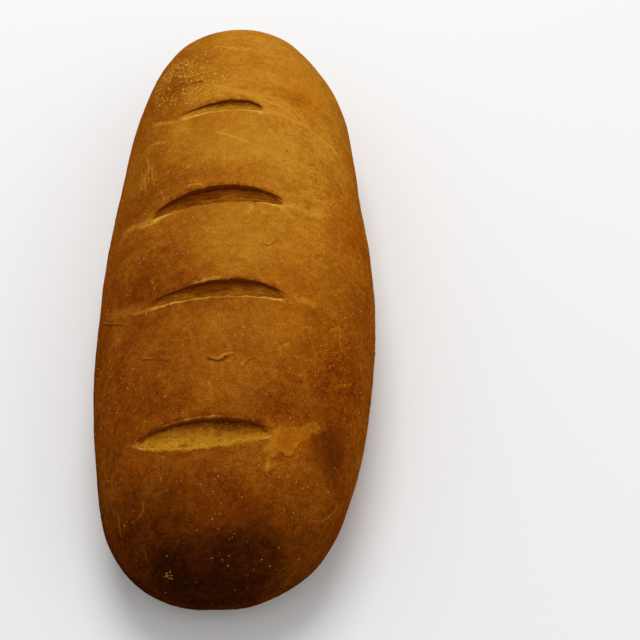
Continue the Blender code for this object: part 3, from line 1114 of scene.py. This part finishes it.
def mottlingGroup():
    # uneven blotches from about -1 to 1, Size is the size of one in metres
    group, given, result = startGroup("mottling", (
        ("Place", "Vector", None), ("Size", "Float", 0.01), ("Detail", "Float", 3.0),
    ), ("Value",))
    scale = calc(group, "DIVIDE", 1.0, given["Size"])
    noise = addNode(group, "TexNoise", {"Vector": given["Place"], "Scale": scale, "Detail": given["Detail"],
                                        "Roughness": 0.55, "Distortion": 0.3})
    centred = calc(group, "SUBTRACT", noise.outputs["Fac"], 0.5)
    group.links.new(times(group, centred, 2.6), result["Value"])
    return group


def specksGroup():
    # small round spots, Share of the cells have one
    group, given, result = startGroup("specks", (
        ("Place", "Vector", None), ("Spacing", "Float", 0.003), ("Radius", "Float", 0.0005),
        ("Share", "Float", 0.3),
    ), ("Mask",))
    scale = calc(group, "DIVIDE", 1.0, given["Spacing"])
    cells = addNode(group, "TexVoronoi", {"Vector": given["Place"], "Scale": scale})
    away = times(group, cells.outputs["Distance"], given["Spacing"])
    shades = addNode(group, "SeparateColor", {"Color": cells.outputs["Color"]})
    size = times(group, given["Radius"], calc(group, "ADD", shades.outputs["Green"], 0.4))
    spot = fade(group, calc(group, "DIVIDE", away, size), 1.0, 0.5)
    kept = calc(group, "LESS_THAN", shades.outputs["Red"], given["Share"])
    group.links.new(times(group, spot, kept), result["Mask"])
    return group


def raggedLineGroup():
    # a line from its signed distance in widths, with uneven edges and gaps, and a band along one side of it
    # that serves as a painted highlight
    group, given, result = startGroup("raggedLine", (
        ("Place", "Vector", None), ("Away", "Float", 9.0), ("Strength", "Float", 0.0),
        ("Raggedness", "Float", 0.5), ("Gaps", "Float", 1.0),
    ), ("Mask", "LitEdge"))
    sway = addNode(group, "TexNoise", {"Vector": given["Place"], "Scale": 380.0, "Detail": 2.0})
    shift = times(group, calc(group, "SUBTRACT", sway.outputs["Fac"], 0.5), given["Raggedness"])
    away = addUp(group, given["Away"], (shift, 3.0))
    gaps = addNode(group, "TexNoise", {"Vector": given["Place"], "Scale": 900.0, "Detail": 2.0})
    missing = times(group, fade(group, gaps.outputs["Fac"], 0.52, 0.28), given["Gaps"])
    line = times(group, fade(group, calc(group, "ABSOLUTE", away), 1.5, 0.0), given["Strength"])
    group.links.new(times(group, line, calc(group, "SUBTRACT", 1.0, missing)), result["Mask"])
    # the band along one side is a painted highlight
    beside = calc(group, "ABSOLUTE", calc(group, "SUBTRACT", away, 2.0))
    group.links.new(times(group, fade(group, beside, 1.3, 0.3), given["Strength"]), result["LitEdge"])
    return group


def startMaterial(name):
    material = bpy.data.materials.new(name)
    material.use_nodes = True
    tree = material.node_tree
    return material, tree, tree.nodes["Principled BSDF"], addNode(tree, "TexCoord").outputs["Object"]


def finishMaterial(tree, shader, colour, roughness, relief=None):
    # relief is in mm
    tree.links.new(colour, shader.inputs["Base Color"])
    feed(tree, shader, {"Roughness": roughness, "Specular IOR Level": 0.0})
    if relief is not None:
        bump = addNode(tree, "Bump", {"Strength": 1.0, "Distance": mm, "Height": relief})
        tree.links.new(bump.outputs["Normal"], shader.inputs["Normal"])


crustFinish = {
    "roughness": 0.6,
    # colour of each level, which holds baking and painted shade
    "ramp": (
        (0.10, (0.0100, 0.0022, 0.0004)),
        (0.22, (0.0228, 0.0052, 0.0008)),
        (0.30, (0.0393, 0.0070, 0.0010)),
        (0.41, (0.0734, 0.0146, 0.0011)),
        (0.49, (0.1040, 0.0219, 0.0013)),
        (0.56, (0.1400, 0.0285, 0.0015)),
        (0.65, (0.1960, 0.0430, 0.0022)),
        (0.72, (0.2440, 0.0620, 0.0035)),
        (0.79, (0.2940, 0.0845, 0.0050)),
        (0.89, (0.3870, 0.1340, 0.0080)),
        (1.00, (0.5250, 0.2250, 0.0190)),
    ),
    "paleGold": (0.600, 0.320, 0.045),
    "olive": (0.235, 0.108, 0.006),
    # painted shade in the cracks and pores
    "crackShade": (0.090, 0.015, 0.0006),
    "wallBrown": (0.205, 0.0360, 0.0018),
    "rimGold": (0.640, 0.325, 0.036),
    # pale specks, partly flour and partly painted glints
    "flourAndGlint": (0.640, 0.330, 0.085),
    "warmTint": (1.0, 0.83, 0.40),
    "underside": (0.230, 0.100, 0.022),
    # size in metres and change of the baking level
    "patterns": {
        "largeMottle": (0.045, 0.060),
        "mottle": (0.012, 0.074),
        "fineMottle": (0.0032, 0.094),
        "grit": (0.0009, 0.132),
    },
    # spacing and radius in metres, share of the places that have one
    "specks": {
        "bright": (0.0046, 0.0005, 0.24),
        "tiny": (0.0021, 0.0003, 0.52),
        "pores": (0.0027, 0.00045, 0.30),
    },
    # change of the level where each is full; the brow and the shaded place are painted shade
    "change": {"browShade": -0.26, "cap": -0.17, "torn": 0.085, "tornRim": 0.045, "shaded": -0.16, "pale": 0.22},
    # how much of its own colour each puts over the crust
    "cover": {"pale": 0.20, "crackLitEdge": 0.16, "bright": 0.50, "tiny": 0.42, "pores": 0.36,
              "underside": 0.8, "lip": 0.10, "tail": 0.85},
    # height in mm
    "relief": {"fineMottle": 0.14, "grit": 0.055, "bright": 0.10, "tiny": 0.07, "pores": -0.10,
               "crack": -0.30, "pale": 0.03, "torn": -0.06},
}


def crustMaterial(mottling, specks, raggedLine):
    material, tree, shader, place = startMaterial("bakedCrust")
    finish = crustFinish
    cover = finish["cover"]
    level = mask(tree, "bakeAndShade")
    # the grain is stronger where the crust is darker, and calmer in the torn place
    strong = addUp(tree, 0.78, (fade(tree, level, 0.97, 0.70), 0.50))
    calm = addUp(tree, 1.0, (fade(tree, mask(tree, "torn"), -0.5, 1.0), -0.3))
    strong = times(tree, strong, calm, mask(tree, "grain"))
    shown = {}
    for name, (size, amount) in finish["patterns"].items():
        shown[name] = useGroup(tree, mottling, {"Place": place, "Size": size})["Value"]
        level = addUp(tree, level, (times(tree, shown[name], amount), strong))
    mottle, fineMottle = shown["mottle"], shown["fineMottle"]
    # painted shade on the rolled edge over each score
    browShade = times(tree, mask(tree, "browShade"), fade(tree, fineMottle, 1.1, -0.9))
    # the dark cap begins with a step and goes on darkening
    cap = addUp(tree, mask(tree, "cap"), (mottle, 1.2))
    capMask = addUp(tree, 0.0, (fade(tree, cap, -1.4, 1.4), 0.35), (fade(tree, cap, -5.0, 9.0), 0.65))
    # the torn place is paler, most of all along its uneven edge
    tornEdge = addUp(tree, mask(tree, "torn"), (fineMottle, 0.9))
    shown["torn"] = fade(tree, addUp(tree, tornEdge, (mottle, 0.5)), -0.7, 0.7)
    tornRim = times(tree, shown["torn"], fade(tree, tornEdge, 3.2, 0.8))
    # painted shade next to the torn place
    shaded = fade(tree, addUp(tree, mask(tree, "shaded"), (fineMottle, 0.6)), -1.4, 1.2)
    pale = useGroup(tree, raggedLine, {"Place": place, "Away": mask(tree, "paleAway"), "Gaps": 0.45,
                                       "Strength": mask(tree, "paleStrength"), "Raggedness": 0.4})
    shown["pale"] = pale["Mask"]
    places = {"browShade": browShade, "cap": capMask, "torn": shown["torn"], "tornRim": tornRim, "shaded": shaded,
              "pale": shown["pale"]}
    level = addUp(tree, level, *((places[name], amount) for name, amount in finish["change"].items()))
    colour = colourRamp(tree, level, finish["ramp"])
    colour = blendColour(tree, mask(tree, "warm"), colour, finish["warmTint"], "MULTIPLY")
    dust = calc(tree, "MULTIPLY", mask(tree, "dust"), fade(tree, fineMottle, -0.9, 0.9), clamp=True)
    colour = blendColour(tree, dust, colour, finish["olive"])
    # lines: pale marks, and cracks with painted shade in them and a painted highlight along one edge
    colour = blendColour(tree, times(tree, shown["pale"], cover["pale"]), colour, finish["paleGold"])
    crack = useGroup(tree, raggedLine, {"Place": place, "Away": mask(tree, "crackAway"),
                                        "Strength": mask(tree, "crackStrength"), "Raggedness": 0.6})
    shown["crack"] = crack["Mask"]
    colour = blendColour(tree, times(tree, crack["LitEdge"], cover["crackLitEdge"]), colour, finish["paleGold"])
    colour = blendColour(tree, shown["crack"], colour, finish["crackShade"])
    # pale specks, fewer on dark crust, partly flour and partly painted glints on tiny blisters, and small
    # dark pores with painted shade
    for name, (spacing, radius, share) in finish["specks"].items():
        shown[name] = useGroup(tree, specks, {"Place": place, "Spacing": spacing, "Radius": radius,
                                              "Share": share})["Mask"]
    onPale = fade(tree, level, 0.0, 0.65)
    shown["bright"] = times(tree, shown["bright"], onPale)
    colour = blendColour(tree, times(tree, shown["bright"], cover["bright"]), colour, finish["flourAndGlint"])
    colour = blendColour(tree, times(tree, shown["tiny"], onPale, cover["tiny"]), colour, finish["flourAndGlint"])
    colour = blendColour(tree, times(tree, shown["pores"], cover["pores"]), colour, finish["crackShade"])
    # underside, lips with a painted highlight along their top, walls and rims of the scores
    under = fade(tree, addUp(tree, mask(tree, "under"), (mottle, 0.12)), 0.40, 1.0)
    under = times(tree, under, cover["underside"])
    colour = blendColour(tree, under, colour, finish["underside"])
    # painted highlight along the top of each far lip
    lip = times(tree, mask(tree, "lip"), fade(tree, shown["grit"], -1.0, 0.8), cover["lip"])
    colour = blendColour(tree, lip, colour, finish["rimGold"])
    colour = blendColour(tree, mask(tree, "cut"), colour, finish["wallBrown"])
    # golden near edges of the scores, partly painted highlight, and the golden tail
    golden = calc(tree, "MAXIMUM", mask(tree, "rim"), times(tree, mask(tree, "tail"), cover["tail"]))
    rim = times(tree, golden, fade(tree, fineMottle, -1.0, 0.5))
    colour = blendColour(tree, rim, colour, finish["rimGold"])
    relief = addUp(tree, 0.0, *((shown[name], amount) for name, amount in finish["relief"].items()))
    # the dark cap is glossier, the underside duller
    rough = addUp(tree, finish["roughness"], (fineMottle, 0.06), (capMask, -0.12))
    rough = calc(tree, "ADD", rough, times(tree, under, 0.3), clamp=True)
    finishMaterial(tree, shader, colour, rough, relief)
    return material


crumbFinish = {
    # baked and golden crumb, from the near edge (0) to under the lip (1); the darkening towards the lip is
    # painted shade
    "baked": (
        (0.00, (0.370, 0.1330, 0.0075)),
        (0.12, (0.245, 0.0700, 0.0030)),
        (0.40, (0.180, 0.0455, 0.0017)),
        (0.62, (0.155, 0.0350, 0.0013)),
        (0.80, (0.135, 0.0270, 0.0012)),
        (0.98, (0.120, 0.0210, 0.0010)),
    ),
    "golden": (
        (0.00, (0.500, 0.2100, 0.0105)),
        (0.30, (0.490, 0.2100, 0.0100)),
        (0.52, (0.440, 0.1820, 0.0085)),
        (0.68, (0.300, 0.1000, 0.0042)),
        (0.81, (0.150, 0.0370, 0.0018)),
        (0.98, (0.075, 0.0130, 0.0008)),
    ),
    # baked and golden colour of what lies deep, painted shade, and of what stands up, painted highlight
    "hollowShades": ((0.062, 0.0100, 0.0006), (0.190, 0.0600, 0.0032)),
    "ridgeHighlights": ((0.310, 0.1020, 0.0060), (0.570, 0.2750, 0.0240)),
    # how much the fibres are drawn out along the score in baked and in golden crumb
    "stretch": (0.24, 0.62),
    "fibreSize": 0.0011,
    "mottleSize": 0.0045,
    "holes": (0.0024, 0.0005, 0.25),     # spacing and radius in metres, share
    "roughness": 0.85,
}


def crumbMaterial(mottling, specks):
    material, tree, shader, place = startMaterial("tornCrumb")
    finish = crumbFinish
    wave = useGroup(tree, mottling, {"Place": place, "Size": finish["mottleSize"]})["Value"]
    tone = mask(tree, "tone")
    fibres = []
    for stretch in finish["stretch"]:
        stretched = addNode(tree, "Mapping", {"Vector": place, "Scale": (stretch, 1.0, 1.0)})
        fibres.append(useGroup(tree, mottling, {"Place": stretched.outputs[0], "Size": finish["fibreSize"],
                                                "Detail": 2.0})["Value"])
    fibre = addUp(tree, fibres[0], (calc(tree, "SUBTRACT", fibres[1], fibres[0]), tone))
    reach = addUp(tree, mask(tree, "reach"), (wave, 0.07), (fibre, 0.12))
    baked, golden = (colourRamp(tree, reach, finish[name]) for name in ("baked", "golden"))
    colour = blendColour(tree, tone, baked, golden)
    hollowShade = blendColour(tree, tone, *finish["hollowShades"])
    ridgeHighlight = blendColour(tree, tone, *finish["ridgeHighlights"])
    # strands with a painted highlight, and painted shade in the fibres between them, in pits and in small
    # holes
    strand = mask(tree, "strand")
    light = times(tree, fade(tree, strand, 0.15, 0.9), fade(tree, reach, 1.0, 0.5))
    colour = blendColour(tree, times(tree, light, addUp(tree, 0.75, (tone, -0.40))), colour, ridgeHighlight)
    spacing, radius, share = finish["holes"]
    holes = useGroup(tree, specks, {"Place": place, "Spacing": spacing, "Radius": radius,
                                    "Share": share})["Mask"]
    for deep, amount in ((fade(tree, strand, 0.2, -0.6), addUp(tree, 0.75, (tone, -0.50))),
                         (fade(tree, fibre, 0.2, -0.7), 0.75),
                         (fade(tree, mask(tree, "pit"), 0.05, 0.6), 0.6),
                         (holes, 0.4)):
        colour = blendColour(tree, times(tree, deep, amount), colour, hollowShade)
    finishMaterial(tree, shader, colour, finish["roughness"], addUp(tree, 0.0, (fibre, 0.22), (holes, -0.25)))
    return material


grainFinish = {
    # darkest to palest colour of the grains
    "coarseMeal": ((0.0, (0.430, 0.185, 0.014)), (0.5, (0.620, 0.335, 0.038)), (1.0, (0.780, 0.480, 0.085))),
    "looseMeal": ((0.0, (0.440, 0.170, 0.015)), (0.5, (0.640, 0.280, 0.034)), (1.0, (0.800, 0.410, 0.085))),
    "scorched": (0.400, 0.170, 0.036),
    "scorchedAlong": (-0.02, -0.12),     # y in metres where grains begin to scorch and are scorched
    "roughness": 0.5,
    # from the dip to the rim of a burst bubble: painted shade in the dip, a painted glint on the rim
    "bubble": ((0.0, (0.190, 0.052, 0.003)), (0.45, (0.340, 0.115, 0.007)), (0.9, (0.600, 0.290, 0.038))),
    "bubbleRoughness": 0.45,
}


def grainMaterial(mottling, name):
    material, tree, shader, place = startMaterial(name)
    tone = useGroup(tree, mottling, {"Place": place, "Size": 0.0016, "Detail": 1.0})["Value"]
    colour = colourRamp(tree, addUp(tree, 0.5, (tone, 0.5)), grainFinish[name])
    # grains near the dark end are scorched too
    along = addNode(tree, "SeparateXYZ", {"Vector": place}).outputs["Y"]
    scorched = times(tree, fade(tree, along, *grainFinish["scorchedAlong"]), 0.8)
    colour = blendColour(tree, scorched, colour, grainFinish["scorched"])
    finishMaterial(tree, shader, colour, grainFinish["roughness"])
    return material


def blisterMaterial(mottling):
    material, tree, shader, place = startMaterial("burstBubble")
    tone = useGroup(tree, mottling, {"Place": place, "Size": 0.002, "Detail": 1.0})["Value"]
    colour = colourRamp(tree, addUp(tree, mask(tree, "rimGlint"), (tone, 0.35)), grainFinish["bubble"])
    finishMaterial(tree, shader, colour, grainFinish["bubbleRoughness"])
    return material


studio = {
    "floorColour": (0.90, 0.90, 0.90),
    "floorSize": 6.0,
    "floorRoughness": 0.9,
    "floorSpecular": 0.1,
    "sky": 0.56,
    # position, aim, size in metres and power in watts
    "key": ((-0.05, 0.62, 1.45), (0, 0, 0.04), 0.9, 12.0),
    "fill": ((0.9, -0.7, 1.2), (0, 0, 0.04), 1.2, 1.6),
}


def buildStudio():
    nothingSelected()
    bpy.ops.mesh.primitive_plane_add(size=studio["floorSize"], location=(0, 0, low.z))
    floor = bpy.context.object
    floor.name = "floor"
    material, _, shader, _ = startMaterial("paleFloor")
    shader.inputs["Base Color"].default_value = (*studio["floorColour"], 1)
    shader.inputs["Roughness"].default_value = studio["floorRoughness"]
    shader.inputs["Specular IOR Level"].default_value = studio["floorSpecular"]
    floor.data.materials.append(material)
    for name in ("key", "fill"):
        spot, aim, size, power = studio[name]
        data = bpy.data.lights.new(name, "AREA")
        data.shape = "DISK"
        data.size = size
        data.energy = power
        lamp = bpy.data.objects.new(name, data)
        lamp.location = spot
        lamp.rotation_euler = (Vector(aim) - Vector(spot)).to_track_quat("-Z", "Y").to_euler()
        bpy.context.scene.collection.objects.link(lamp)
    world = bpy.data.worlds.new("softRoom")
    world.use_nodes = True
    sky = world.node_tree.nodes["Background"]
    sky.inputs["Color"].default_value = (1, 1, 1, 1)
    sky.inputs["Strength"].default_value = studio["sky"]
    bpy.context.scene.world = world
    bpy.context.scene.view_settings.view_transform = "Standard"


def finishPiece(piece, material):
    piece.data.materials.clear()
    piece.data.materials.append(material)
    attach(piece, "root")


addCamera()
print("camera placed")
mottling, specks, raggedLine = mottlingGroup(), specksGroup(), raggedLineGroup()
loafCrust, loafFit = buildCrust()
paintCrust(loafCrust, loafFit)
carveMarks(loafCrust)
finishPiece(loafCrust, crustMaterial(mottling, specks, raggedLine))
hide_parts("loaf")
print("crust painted")
tornCrumb = crumbMaterial(mottling, specks)
for number, score in enumerate(scores):
    finishPiece(buildTear(number, score, loafFit), tornCrumb)
print("scores torn")
coarseMeal, looseMeal = (grainMaterial(mottling, name) for name in ("coarseMeal", "looseMeal"))
scatterGrains(loafCrust, loafFit, coarseMeal, looseMeal, blisterMaterial(mottling))
buildStudio()
print("studio lit")
